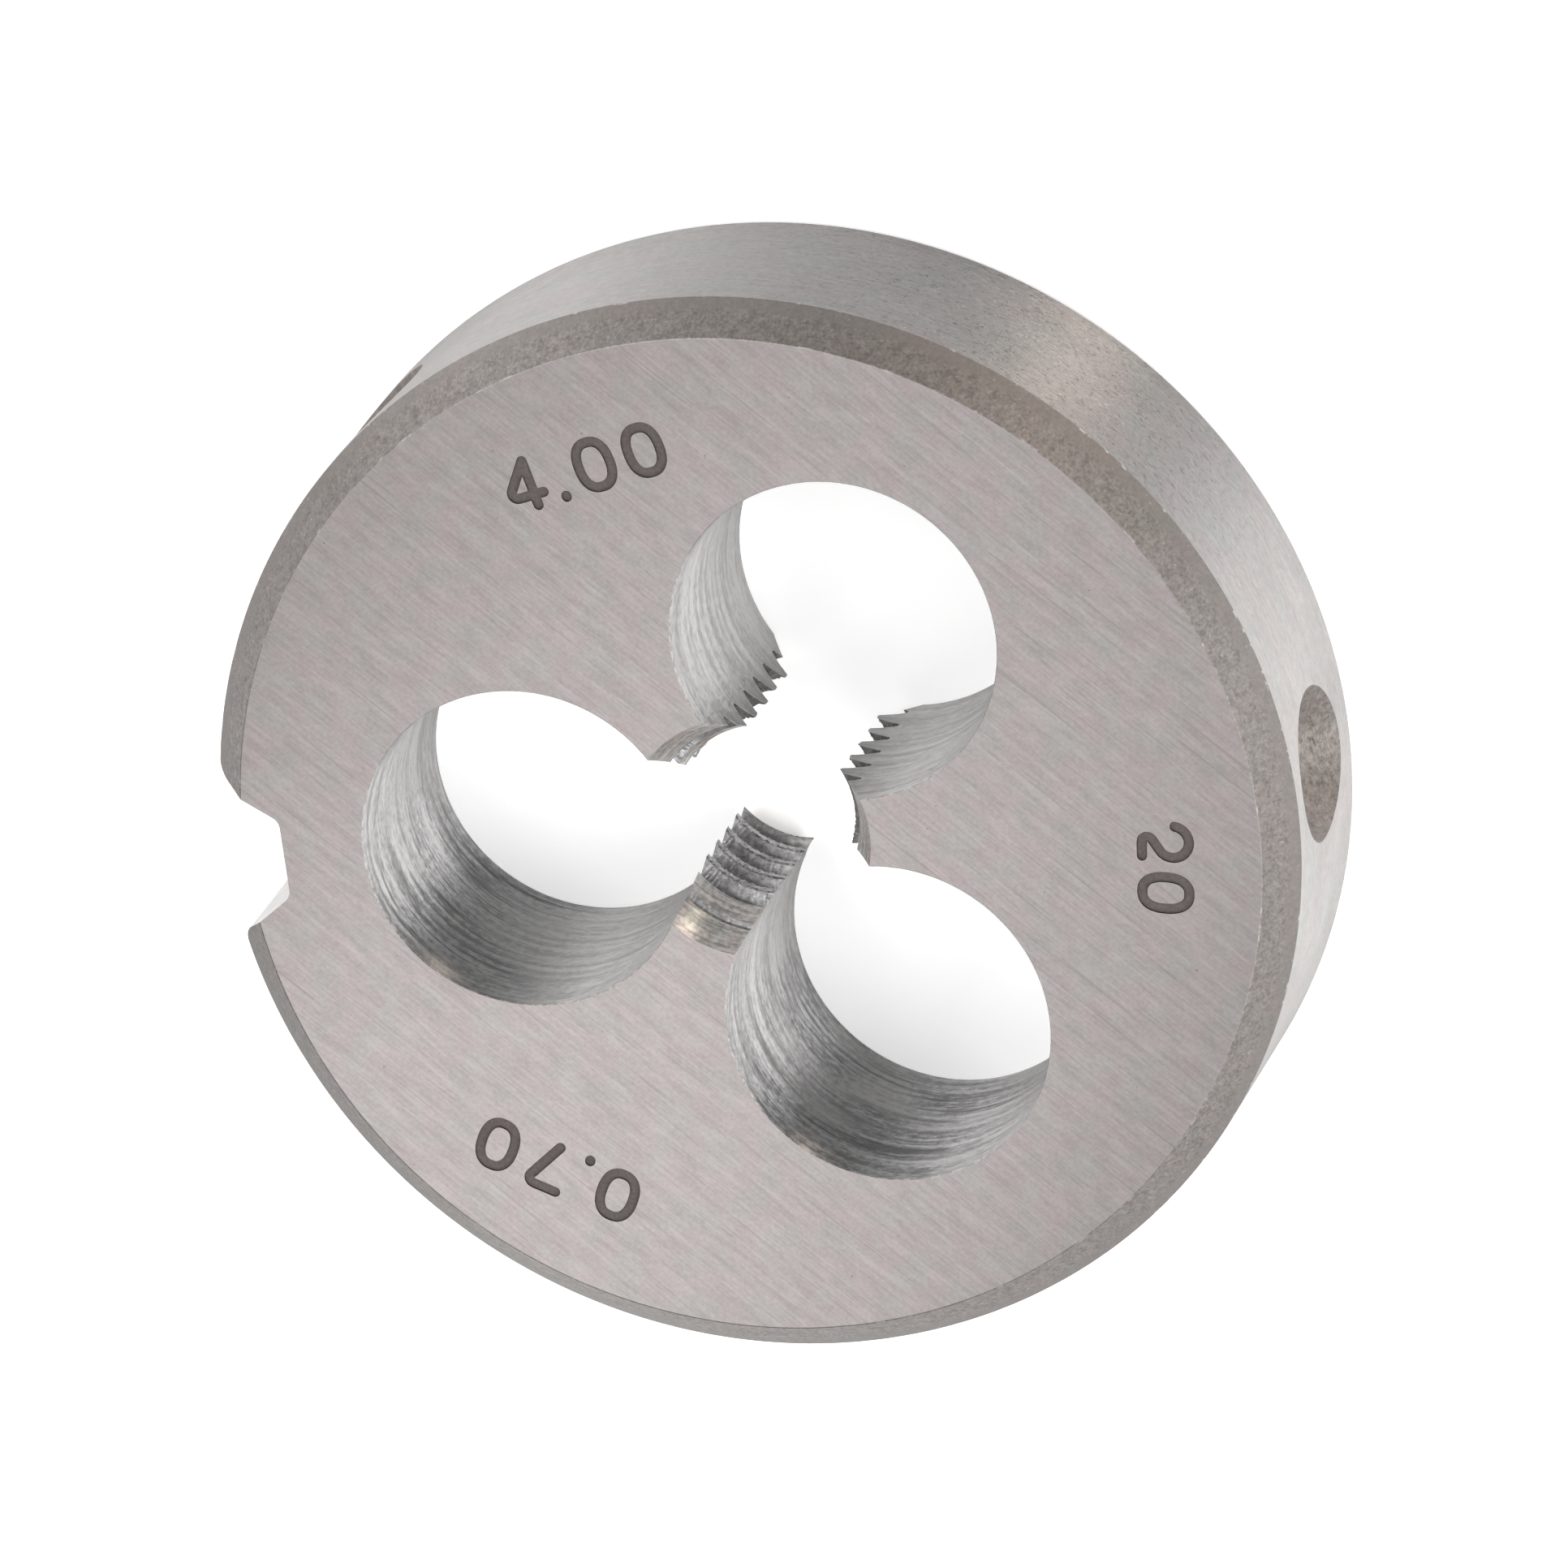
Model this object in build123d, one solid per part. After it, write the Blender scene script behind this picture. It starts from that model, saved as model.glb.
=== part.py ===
from build123d import *
from math import ceil, cos, floor, radians, sin, tan
import os

# A round threading die: one disc of high speed steel with a threaded bore, three chip holes
# that part the thread into three toothed lands, a notch and three conical dimples in the rim.
# Lengths are in millimetres and angles in degrees. The origin is the centre of the back face,
# +Z leaves the marked face, where a rod enters, and the notch opens towards -X.

# Disc
OUTER_DIAMETER = 20.0
THICKNESS = 5.0
FRONT_BEVEL_WIDTH = 0.57
FRONT_BEVEL_DEPTH = 0.66
BACK_BEVEL = 0.18

# Thread, metric form, right-handed
THREAD_DIAMETER = 4.0
THREAD_PITCH = 0.7
THREAD_ANGLE = 60.0
ROOT_CLEARANCE = 0.03
GROOVE_HEIGHT_AT_X = 0.34

# Cones that open the bore at both faces
FRONT_LEAD_DIAMETER = 4.54
FRONT_LEAD_HALF_ANGLE = 24.0
BACK_LEAD_DIAMETER = 4.4
BACK_LEAD_HALF_ANGLE = 45.0

# Chip holes, the first in line with the notch
CHIP_HOLE_COUNT = 3
CHIP_HOLE_DIAMETER = 6.0
CHIP_HOLE_CENTRE_RADIUS = 4.2

# Notch in the rim
NOTCH_DEPTH = 1.3
NOTCH_FLOOR_WIDTH = 1.45
NOTCH_FLANK_ANGLE = 35.0
NOTCH_FLOOR_FILLET = 0.25
NOTCH_LIP_FILLET = 0.4

# Conical dimples for the holder's screws, one opposite the notch and one to each side of it
DIMPLE_DIAMETER = 3.0
DIMPLE_POINT_ANGLE = 90.0
DIMPLE_HEIGHT = 2.4
SIDE_DIMPLE_FROM_NOTCH = 47.5

# How far each cutter runs past the surface that it cuts
OVERRUN = 0.5

OUTER_RADIUS = OUTER_DIAMETER / 2
NOTCH_DIRECTION = 180.0
SHARP_THREAD_HEIGHT = THREAD_PITCH / 2 / tan(radians(THREAD_ANGLE / 2))
CREST_RADIUS = THREAD_DIAMETER / 2 - 5 / 8 * SHARP_THREAD_HEIGHT
ROOT_RADIUS = THREAD_DIAMETER / 2 + ROOT_CLEARANCE


def at_angle(radius, angle, height=0.0):
    """Point at a distance from the axis and an angle from +X."""
    return (radius * cos(radians(angle)), radius * sin(radians(angle)), height)


def turned(*profile):
    """Solid of revolution about Z, from corners given as radius and height."""
    section = make_face(Polyline(*[(radius, 0, height) for radius, height in profile], close=True))
    return revolve(section, Axis.Z)


def through_hole(radius):
    """Cylinder about Z that runs past both faces of the disc."""
    length = THICKNESS + 2 * OVERRUN
    return Pos(0, 0, -OVERRUN) * Cylinder(
        radius, length, align=(Align.CENTER, Align.CENTER, Align.MIN)
    )


def notched_disc():
    """The disc with the notch through its rim, and the notch's rounded corners."""
    floor_x = NOTCH_DEPTH - OUTER_RADIUS
    mouth_x = -OUTER_RADIUS - OVERRUN
    half_floor = NOTCH_FLOOR_WIDTH / 2
    half_mouth = half_floor + (floor_x - mouth_x) * tan(radians(NOTCH_FLANK_ANGLE))
    notch = Polygon(
        (floor_x, half_floor),
        (mouth_x, half_mouth),
        (mouth_x, -half_mouth),
        (floor_x, -half_floor),
        align=None,
    )
    outline = Circle(OUTER_RADIUS) - notch
    lips = outline.vertices().sort_by(Axis.X)[:2]
    outline = fillet(lips, NOTCH_LIP_FILLET)
    floor_corners = outline.vertices().filter_by(lambda v: abs(v.X - floor_x) < OVERRUN / 100)
    return extrude(fillet(floor_corners, NOTCH_FLOOR_FILLET), THICKNESS)


def rim_bevels():
    """Rings that take off the two corners of the rim."""
    slope = FRONT_BEVEL_DEPTH / FRONT_BEVEL_WIDTH
    front = turned(
        (OUTER_RADIUS - FRONT_BEVEL_WIDTH - OVERRUN, THICKNESS + OVERRUN * slope),
        (OUTER_RADIUS + OVERRUN, THICKNESS + OVERRUN * slope),
        (OUTER_RADIUS + OVERRUN, THICKNESS - FRONT_BEVEL_DEPTH - OVERRUN * slope),
    )
    back = turned(
        (OUTER_RADIUS - BACK_BEVEL - OVERRUN, -OVERRUN),
        (OUTER_RADIUS + OVERRUN, -OVERRUN),
        (OUTER_RADIUS + OVERRUN, BACK_BEVEL + OVERRUN),
    )
    return [front, back]


def chip_holes():
    """Drilled holes that break into the bore and part the thread into lands."""
    places = PolarLocations(
        CHIP_HOLE_CENTRE_RADIUS, CHIP_HOLE_COUNT, start_angle=NOTCH_DIRECTION
    )
    return [place * through_hole(CHIP_HOLE_DIAMETER / 2) for place in places]


def land_grooves():
    """Helical grooves between the teeth, a short sweep for each turn on each land."""
    inner_radius = CREST_RADIUS - THREAD_PITCH / 10
    half_root = THREAD_PITCH / 16
    flank_slope = tan(radians(THREAD_ANGLE / 2))
    half_inner = half_root + (THREAD_DIAMETER / 2 - inner_radius) * flank_slope
    section = make_face(
        Polyline(
            (inner_radius, 0, -half_inner),
            (ROOT_RADIUS, 0, -half_root),
            (ROOT_RADIUS, 0, half_root),
            (inner_radius, 0, half_inner),
            close=True,
        )
    )
    land_spacing = 360.0 / CHIP_HOLE_COUNT
    groove_span = land_spacing * 3 / 4
    groove_rise = THREAD_PITCH * groove_span / 360.0
    path = Helix(THREAD_PITCH, groove_rise, THREAD_DIAMETER / 2)
    groove = sweep(section, path, is_frenet=True)

    grooves = []
    for land in range(CHIP_HOLE_COUNT):
        start_angle = NOTCH_DIRECTION + (land + 0.5) * land_spacing - groove_span / 2
        height_at_start = GROOVE_HEIGHT_AT_X + THREAD_PITCH * start_angle / 360.0
        first_turn = floor(-height_at_start / THREAD_PITCH)
        last_turn = ceil((THICKNESS - height_at_start) / THREAD_PITCH)
        for turn in range(first_turn, last_turn + 1):
            height = height_at_start + turn * THREAD_PITCH
            grooves.append(Pos(0, 0, height) * Rot(0, 0, start_angle) * groove)
    return grooves


def lead_in_cones():
    """Cones that clear the first and last turns of the thread."""
    front_slope = tan(radians(FRONT_LEAD_HALF_ANGLE))
    back_slope = tan(radians(BACK_LEAD_HALF_ANGLE))
    front_mouth = FRONT_LEAD_DIAMETER / 2 + OVERRUN * front_slope
    back_mouth = BACK_LEAD_DIAMETER / 2 + OVERRUN * back_slope
    front = turned(
        (0, THICKNESS + OVERRUN),
        (front_mouth, THICKNESS + OVERRUN),
        (0, THICKNESS + OVERRUN - front_mouth / front_slope),
    )
    back = turned(
        (0, -OVERRUN),
        (back_mouth, -OVERRUN),
        (0, back_mouth / back_slope - OVERRUN),
    )
    return [front, back]


def rim_dimples():
    """Conical seats for the points of the holder's screws."""
    slope = tan(radians(DIMPLE_POINT_ANGLE / 2))
    depth = DIMPLE_DIAMETER / 2 / slope
    cone = Cone(
        0,
        DIMPLE_DIAMETER / 2 + OVERRUN * slope,
        depth + OVERRUN,
        align=(Align.CENTER, Align.CENTER, Align.MIN),
    )
    dimples = []
    for from_notch in (180.0, SIDE_DIMPLE_FROM_NOTCH, -SIDE_DIMPLE_FROM_NOTCH):
        angle = NOTCH_DIRECTION + from_notch
        tip = at_angle(OUTER_RADIUS - depth, angle, DIMPLE_HEIGHT)
        dimples.append(Plane(origin=tip, z_dir=at_angle(1, angle)) * cone)
    return dimples


def die_body():
    """The finished die, cut in the order that keeps every cut simple."""
    body = notched_disc() - through_hole(CREST_RADIUS)
    cutters = chip_holes() + land_grooves() + lead_in_cones() + rim_bevels() + rim_dimples()
    for cutter in cutters:
        body -= cutter
    return body


os.makedirs("parts", exist_ok=True)
export_step(die_body(), "parts/die_body.step")
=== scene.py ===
from math import acos, atan2, ceil, cos, degrees, floor, hypot, pi, radians, sin, sqrt, tan

import bmesh
import bpy
import numpy as np
from mathutils import Euler, Matrix, Vector


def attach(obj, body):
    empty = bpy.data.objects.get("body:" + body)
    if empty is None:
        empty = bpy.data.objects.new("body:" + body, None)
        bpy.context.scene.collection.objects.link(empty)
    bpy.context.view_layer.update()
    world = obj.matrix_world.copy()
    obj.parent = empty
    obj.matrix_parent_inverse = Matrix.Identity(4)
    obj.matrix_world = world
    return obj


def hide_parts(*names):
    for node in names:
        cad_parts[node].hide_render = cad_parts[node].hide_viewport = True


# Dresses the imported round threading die. The die's node is replaced by a finer mesh of the same
# sizes, cut in the same way, with engraved numbers, broken edges and one material for each kind
# of machining. Lengths are in millimetres up to the last step, which scales the mesh to metres.
# Angles are in degrees, and directions are counted from +X.

MM = 0.001

# Disc
OUTER_RADIUS = 10.0
THICKNESS = 5.0
FRONT_BEVEL_WIDTH = 0.57
FRONT_BEVEL_DEPTH = 0.66
BACK_BEVEL = 0.18
EDGE_BREAK = 0.015
SHOULDER = THICKNESS - FRONT_BEVEL_DEPTH

# Thread: the wear is how far the teeth stray from the true form, and the crests stray further
THREAD_RADIUS = 2.0
THREAD_PITCH = 0.7
THREAD_HALF_ANGLE = 30.0
ROOT_WIDTH_SHARE = 1 / 8
CREST_RADIUS = 1.621
ROOT_RADIUS = 2.03
GROOVE_HEIGHT_AT_X = 0.34
TOOTH_ROUNDING = 0.02
THREAD_WEAR = 0.006
CREST_WEAR_SHARE = 3.0

# Cones that open the bore at both faces
FRONT_LEAD_RADIUS = 2.27
FRONT_LEAD_HALF_ANGLE = 24.0
BACK_LEAD_RADIUS = 2.2
BACK_LEAD_HALF_ANGLE = 45.0

# Chip holes, and the lands between them
CHIP_HOLE_RADIUS = 3.0
CHIP_HOLE_CENTRE_RADIUS = 4.2
CHIP_HOLE_DIRECTIONS = (180.0, 60.0, -60.0)
CHIP_HOLE_CHAMFER = 0.01
BURR_WIDTH = 0.07
LAND_DIRECTIONS = (0.0, 120.0, 240.0)

# Notch
NOTCH_DEPTH = 1.3
NOTCH_FLOOR_WIDTH = 1.45
NOTCH_FLANK_ANGLE = 35.0
NOTCH_FLOOR_FILLET = 0.25
NOTCH_LIP_FILLET = 0.4

# Dimples
DIMPLE_RADIUS = 1.5
DIMPLE_HEIGHT = 2.4
DIMPLE_DIRECTIONS = (0.0, 132.5, 227.5)

# Engraved numbers: text, centre and reading direction on the marked face
MARK_HEIGHT = 1.05
MARK_STROKE = 0.19
MARK_DEPTH = 0.05
MARKS = (
    ("4.00", (-2.06, 7.12), 13.0),
    ("20", (7.62, -0.9), -97.0),
    ("0.70", (-4.46, -6.18), 153.0),
)

# Forms of the digits, with lengths as shares of the mark's height, the digit's width or the stroke
DIGIT_WIDTH = 0.75
DIGIT_GAP = 0.18
ZERO_SQUARENESS = 2.4
TWO_BOWL = (172.0, -45.0)
FOUR_WIDTH = 0.84
FOUR_STEM = 0.74
FOUR_ARM = 0.24
SEVEN_FOOT = 0.3
POINT_WIDTH = 1.15
POINT_LENGTH = 0.02
BEND_RADIUS = 0.55
SMOOTH_BEND = 150.0

# Lines of the grinding on both faces, and the ways across the lines of each surface
GRIND_DIRECTION = -44.0
ACROSS_GRIND = (-sin(radians(GRIND_DIRECTION)), cos(radians(GRIND_DIRECTION)), 0.0)
ALONG_AXIS = (0.0, 0.0, 1.0)

# Sides of the die where a surface differs: the rim's pits and painted glints, the bevel's
# painted shade and painted light, the smears with painted shade in the chip holes, and the wall
# of one chip hole where the smears and their painted shade thin out
RIM_PITS_AND_GLINTS_SIDE = 54.0
PAINTED_SHADE_BEVEL_SIDE = 202.0
PAINTED_LIGHT_BEVEL_SIDE = 96.0
SMEARS_AND_SHADE_SIDE = 240.0
THIN_SMEARS_SIDE = 200.0

# Fineness of the round cuts
RIM_SEGMENTS = 360
HOLE_SEGMENTS = 180
CONE_SEGMENTS = 144
CORE_SEGMENTS = 96
LAND_COLUMNS = 49
ZERO_POINTS = 48
BOWL_POINTS = 22
BEND_POINTS = 9
CAP_POINTS = 7
NOTCH_FLOOR_POINTS = 8
NOTCH_LIP_POINTS = 12

# Where the cutters end, clear of the surfaces that they cut
OVERRUN = 0.6
NOTCH_OVERRUN = 1.0
MARK_OVERRUN = 0.2
LAND_OVERRUN = 1.2
LAND_HALF_SPAN = 31.0
LAND_CORE_RADIUS = 0.7
BORE_CORE_RADIUS = 1.5

# Each stroke of a number is cut a little deeper than the one before, so that no floors coincide
STROKE_STEP = 0.0004

# Distance within which the corners left by the cuts are one corner
WELD = 0.0002

# Rays with which the shader rounds an edge
BEVEL_SAMPLES = 4

# What tells the blank's faces apart: the normal's share along the axis, and the distance to the rim
FLAT_TILT = 0.99
BEVEL_TILT = 0.3
UPRIGHT_TILT = 0.1
RIM_CLOSENESS = 0.02

# Studio, in metres and watts, with the strength of the floor's and the room's own light
FLOOR_HALF_WIDTH = 1.5
FLOOR_GLOW = 0.35
ROOM_GLOW = 0.08
WHITE = (1.0, 1.0, 1.0)
WARM_WHITE = (1.0, 0.86, 0.72)

# Camera, fitted to the edges of the rim, the bevel and the holes in the photograph, with its turns
# about X, Y and Z, and in metres how near and how far it sees
CAMERA_PLACE = (83.866, 95.791, 274.061)
CAMERA_TURNS = (-20.8063, 14.3575, -8.0924)
CAMERA_LENS = 382.396
CAMERA_SENSOR = 36.0
CAMERA_NEAR = 0.01
CAMERA_FAR = 20.0


# Mesh tools


def polar(radius, direction):
    """Point at a distance from the axis, in one direction."""
    return (radius * cos(radians(direction)), radius * sin(radians(direction)))


def arc(centre, radius, start, end, count):
    """Points on an arc, with its ends, from one angle to another."""
    turns = np.linspace(radians(start), radians(end), count)
    return [(centre[0] + radius * cos(t), centre[1] + radius * sin(t)) for t in turns]


def solid(name, vertices, faces, material):
    """A closed mesh object in millimetres, with its faces turned outwards."""
    mesh = bpy.data.meshes.new(name)
    mesh.from_pydata(vertices, [], faces)
    work = bmesh.new()
    work.from_mesh(mesh)
    bmesh.ops.recalc_face_normals(work, faces=work.faces)
    work.to_mesh(mesh)
    work.free()
    mesh.materials.append(material)
    item = bpy.data.objects.new(name, mesh)
    bpy.context.scene.collection.objects.link(item)
    return item


def revolved(name, profile, segments, material, centre=(0.0, 0.0)):
    """Solid of revolution from (radius, height) points that start and end on the axis."""
    vertices = [(*centre, profile[0][1]), (*centre, profile[-1][1])]
    rings = []
    for radius, height in profile[1:-1]:
        rings.append(len(vertices))
        for step in range(segments):
            turn = 2 * pi * (step + 0.5) / segments
            x = centre[0] + radius * cos(turn)
            y = centre[1] + radius * sin(turn)
            vertices.append((x, y, height))
    faces = []
    for step in range(segments):
        after = (step + 1) % segments
        faces.append((0, rings[0] + after, rings[0] + step))
        faces.append((1, rings[-1] + step, rings[-1] + after))
        for low, high in zip(rings, rings[1:]):
            faces.append((low + step, low + after, high + after, high + step))
    return solid(name, vertices, faces, material)


def prism(name, outline, bottom, top, material):
    """Straight solid over one closed outline."""
    count = len(outline)
    vertices = [(x, y, height) for height in (bottom, top) for x, y in outline]
    faces = [tuple(range(count)), tuple(range(count, 2 * count))]
    for step in range(count):
        after = (step + 1) % count
        faces.append((step, after, count + after, count + step))
    return solid(name, vertices, faces, material)


def ring_prism(name, outer, inner, bottom, top, material):
    """Straight solid between two closed outlines that have as many points each."""
    count = len(outer)
    vertices = [
        (x, y, height) for height in (bottom, top) for outline in (outer, inner) for x, y in outline
    ]
    faces = []
    for step in range(count):
        after = (step + 1) % count
        for first, second in ((0, 1), (1, 3), (3, 2), (2, 0)):
            a = first * count
            b = second * count
            faces.append((a + step, a + after, b + after, b + step))
    return solid(name, vertices, faces, material)


def cut(body, cutter):
    """Takes the cutter out of the body, and then removes the cutter."""
    boolean = body.modifiers.new("cut", "BOOLEAN")
    boolean.operation = "DIFFERENCE"
    boolean.solver = "EXACT"
    boolean.material_mode = "TRANSFER"
    boolean.object = cutter
    evaluated = body.evaluated_get(bpy.context.evaluated_depsgraph_get())
    mesh = bpy.data.meshes.new_from_object(evaluated)
    body.modifiers.clear()
    old = body.data
    body.data = mesh
    bpy.data.meshes.remove(old)
    spent = cutter.data
    bpy.data.objects.remove(cutter)
    bpy.data.meshes.remove(spent)


def clean(mesh):
    """Leaves triangles only, without the pairs of doubled slivers that the cuts make."""
    work = bmesh.new()
    work.from_mesh(mesh)
    bmesh.ops.remove_doubles(work, verts=work.verts, dist=WELD)
    bmesh.ops.triangulate(work, faces=work.faces)
    alike = {}
    for face in work.faces:
        alike.setdefault(frozenset(vertex.index for vertex in face.verts), []).append(face)
    doubled = [face for faces in alike.values() if len(faces) > 1 for face in faces]
    bmesh.ops.delete(work, geom=doubled, context="FACES")
    work.to_mesh(mesh)
    work.free()


# Blank and cutters of the die


def blank(material):
    """The turned disc with both bevels and broken edges."""
    slope = sqrt(0.5) * EDGE_BREAK
    face_radius = OUTER_RADIUS - FRONT_BEVEL_WIDTH
    profile = [
        (0.0, 0.0),
        (OUTER_RADIUS - BACK_BEVEL, 0.0),
        (OUTER_RADIUS, BACK_BEVEL),
        (OUTER_RADIUS, SHOULDER - slope),
        (OUTER_RADIUS - slope / 2, SHOULDER + slope / 2),
        (face_radius + slope / 2, THICKNESS - slope / 2),
        (face_radius - slope, THICKNESS),
        (0.0, THICKNESS),
    ]
    return revolved("die", profile, RIM_SEGMENTS, material)


def notch_outline():
    """Outline of what the notch takes away, with rounded floor corners and lips."""
    tilt = radians(NOTCH_FLANK_ANGLE)
    floor_x = NOTCH_DEPTH - OUTER_RADIUS
    half_floor = NOTCH_FLOOR_WIDTH / 2
    along_flank = np.array((-cos(tilt), sin(tilt)))
    to_body = np.array((sin(tilt), cos(tilt)))

    reach = NOTCH_FLOOR_FILLET * tan((pi / 2 - tilt) / 2)
    floor_centre = (floor_x - NOTCH_FLOOR_FILLET, half_floor - reach)
    flank_start = 90.0 - NOTCH_FLANK_ANGLE
    half = arc(floor_centre, NOTCH_FLOOR_FILLET, 0.0, flank_start, NOTCH_FLOOR_POINTS)

    # The lip's arc touches the flank and, from inside, the rim
    base = np.array((floor_x, half_floor)) + NOTCH_LIP_FILLET * to_body
    lip_reach = OUTER_RADIUS - NOTCH_LIP_FILLET
    dot = base @ along_flank
    run = -dot + sqrt(dot * dot - base @ base + lip_reach * lip_reach)
    lip_centre = base + run * along_flank
    start = degrees(atan2(-to_body[1], -to_body[0])) % 360.0
    end = degrees(atan2(lip_centre[1], lip_centre[0]))
    half += arc(lip_centre, NOTCH_LIP_FILLET, start, end, NOTCH_LIP_POINTS)
    tip = np.array(half[-1])
    half.append(tuple(tip * (OUTER_RADIUS + OVERRUN) / OUTER_RADIUS))
    half.append((-OUTER_RADIUS - 2 * OVERRUN, half[-1][1]))
    return half + [(x, -y) for x, y in reversed(half)]


def notch_cutter(material):
    """The notch, through the whole thickness."""
    top = THICKNESS + NOTCH_OVERRUN
    return prism("notch_cutter", notch_outline(), -NOTCH_OVERRUN, top, material)


def core_cutter(material):
    """A plain bore inside the crests of the teeth."""
    top = THICKNESS + OVERRUN
    profile = [(0.0, -OVERRUN), (BORE_CORE_RADIUS, -OVERRUN), (BORE_CORE_RADIUS, top), (0.0, top)]
    return revolved("core_cutter", profile, CORE_SEGMENTS, material)


def lead_cutter(mouth, half_angle, height, outwards, material):
    """A cone that opens the bore at one face."""
    slope = tan(radians(half_angle))
    wide = mouth + OVERRUN * slope
    tip = height + outwards * (OVERRUN - wide / slope)
    base = height + outwards * OVERRUN
    profile = [(0.0, tip), (wide, base), (0.0, base)]
    return revolved("lead_cutter", profile, CONE_SEGMENTS, material)


def groove_profile():
    """One turn of the void between the teeth, as (height, radius) points."""
    soft = TOOTH_ROUNDING
    slope = tan(radians(THREAD_HALF_ANGLE))
    half_root = THREAD_PITCH * ROOT_WIDTH_SHARE / 2
    half_crest = half_root + (THREAD_RADIUS - CREST_RADIUS) * slope
    return [
        (-half_crest - soft, CREST_RADIUS),
        (-half_crest + soft * slope, CREST_RADIUS + soft),
        (-half_root - soft * slope, ROOT_RADIUS - soft),
        (-half_root + soft, ROOT_RADIUS),
        (half_root - soft, ROOT_RADIUS),
        (half_root + soft * slope, ROOT_RADIUS - soft),
        (half_crest - soft * slope, CREST_RADIUS + soft),
        (half_crest + soft, CREST_RADIUS),
    ]


def land_cutter(direction, material):
    """The threaded void in front of one land, as a grid that follows the helix."""
    angles = np.linspace(direction - LAND_HALF_SPAN, direction + LAND_HALF_SPAN, LAND_COLUMNS)
    rise = THREAD_PITCH * direction / 360.0 + GROOVE_HEIGHT_AT_X
    first_turn = floor((-LAND_OVERRUN - rise) / THREAD_PITCH)
    last_turn = ceil((THICKNESS + LAND_OVERRUN - rise) / THREAD_PITCH)
    rows = [
        (turn * THREAD_PITCH + offset, radius)
        for turn in range(first_turn, last_turn + 1)
        for offset, radius in groove_profile()
    ]
    vertices = []
    for angle in angles:
        lift = GROOVE_HEIGHT_AT_X + THREAD_PITCH * angle / 360.0
        x, y = polar(1.0, angle)
        for height, radius in rows:
            wear = THREAD_WEAR * (CREST_WEAR_SHARE if radius == CREST_RADIUS else 1.0)
            worn = radius + wear * np.random.uniform(-1.0, 1.0)
            vertices.append((worn * x, worn * y, height + lift))
            vertices.append((LAND_CORE_RADIUS * x, LAND_CORE_RADIUS * y, height + lift))

    def face(*corners):
        """Numbers of the vertices at some columns, rows and sides (0 teeth, 1 core)."""
        return tuple(2 * (column * len(rows) + row) + side for column, row, side in corners)

    faces = []
    for near in range(LAND_COLUMNS - 1):
        far = near + 1
        for row in range(len(rows) - 1):
            for side in (0, 1):
                low = ((near, row, side), (far, row, side))
                high = ((far, row + 1, side), (near, row + 1, side))
                faces.append(face(*low, *high))
        for row in (0, len(rows) - 1):
            faces.append(face((near, row, 0), (far, row, 0), (far, row, 1), (near, row, 1)))
    for end in (0, LAND_COLUMNS - 1):
        for row in range(len(rows) - 1):
            faces.append(face((end, row, 0), (end, row + 1, 0), (end, row + 1, 1), (end, row, 1)))
    return solid("land_cutter", vertices, faces, material)


def chip_hole_cutter(direction, material):
    """A drill with a slight chamfer at each mouth."""
    wide = CHIP_HOLE_RADIUS + CHIP_HOLE_CHAMFER + OVERRUN
    profile = [
        (0.0, -OVERRUN),
        (wide, -OVERRUN),
        (CHIP_HOLE_RADIUS, CHIP_HOLE_CHAMFER),
        (CHIP_HOLE_RADIUS, THICKNESS - CHIP_HOLE_CHAMFER),
        (wide, THICKNESS + OVERRUN),
        (0.0, THICKNESS + OVERRUN),
    ]
    centre = polar(CHIP_HOLE_CENTRE_RADIUS, direction)
    return revolved("chip_hole_cutter", profile, HOLE_SEGMENTS, material, centre)


def dimple_cutter(direction, material):
    """A cone that points at the axis from outside the rim."""
    profile = [(0.0, -DIMPLE_RADIUS), (DIMPLE_RADIUS + OVERRUN, OVERRUN), (0.0, OVERRUN)]
    cutter = revolved("dimple_cutter", profile, CONE_SEGMENTS, material)
    outwards = Matrix.Rotation(radians(direction), 4, "Z") @ Matrix.Rotation(pi / 2, 4, "Y")
    place = Vector((*polar(OUTER_RADIUS, direction), DIMPLE_HEIGHT))
    cutter.data.transform(Matrix.Translation(place) @ outwards)
    return cutter


# Engraved numbers, drawn as strokes with round ends inside a cell one unit high


def digit_strokes(digit, stroke):
    """Centre lines of one digit: a list of (points, closed), and the digit's width."""
    width = FOUR_WIDTH if digit == "4" else DIGIT_WIDTH
    right = width - stroke
    top = 1.0 - stroke
    middle = right / 2
    if digit == "0":
        power = 2 / ZERO_SQUARENESS
        loop = [
            (
                middle + middle * np.sign(cos(t)) * abs(cos(t)) ** power,
                top / 2 + top / 2 * np.sign(sin(t)) * abs(sin(t)) ** power,
            )
            for t in np.linspace(0.0, 2 * pi, ZERO_POINTS + 1)[:-1]
        ]
        return [(loop, True)], width
    if digit == "2":
        bowl = arc((middle, top - middle), middle, *TWO_BOWL, BOWL_POINTS)
        return [(bowl + [(0.0, 0.0), (right, 0.0)], False)], width
    if digit == "4":
        stem = right * FOUR_STEM
        arm = top * FOUR_ARM
        hook = [(stem, top), (0.0, arm), (right, arm)]
        return [(hook, False), ([(stem, top), (stem, 0.0)], False)], width
    if digit == "7":
        return [([(0.0, top), (right, top), (right * SEVEN_FOOT, 0.0)], False)], width
    return [([(0.0, POINT_LENGTH), (0.0, 0.0)], False)], stroke * POINT_WIDTH


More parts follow.
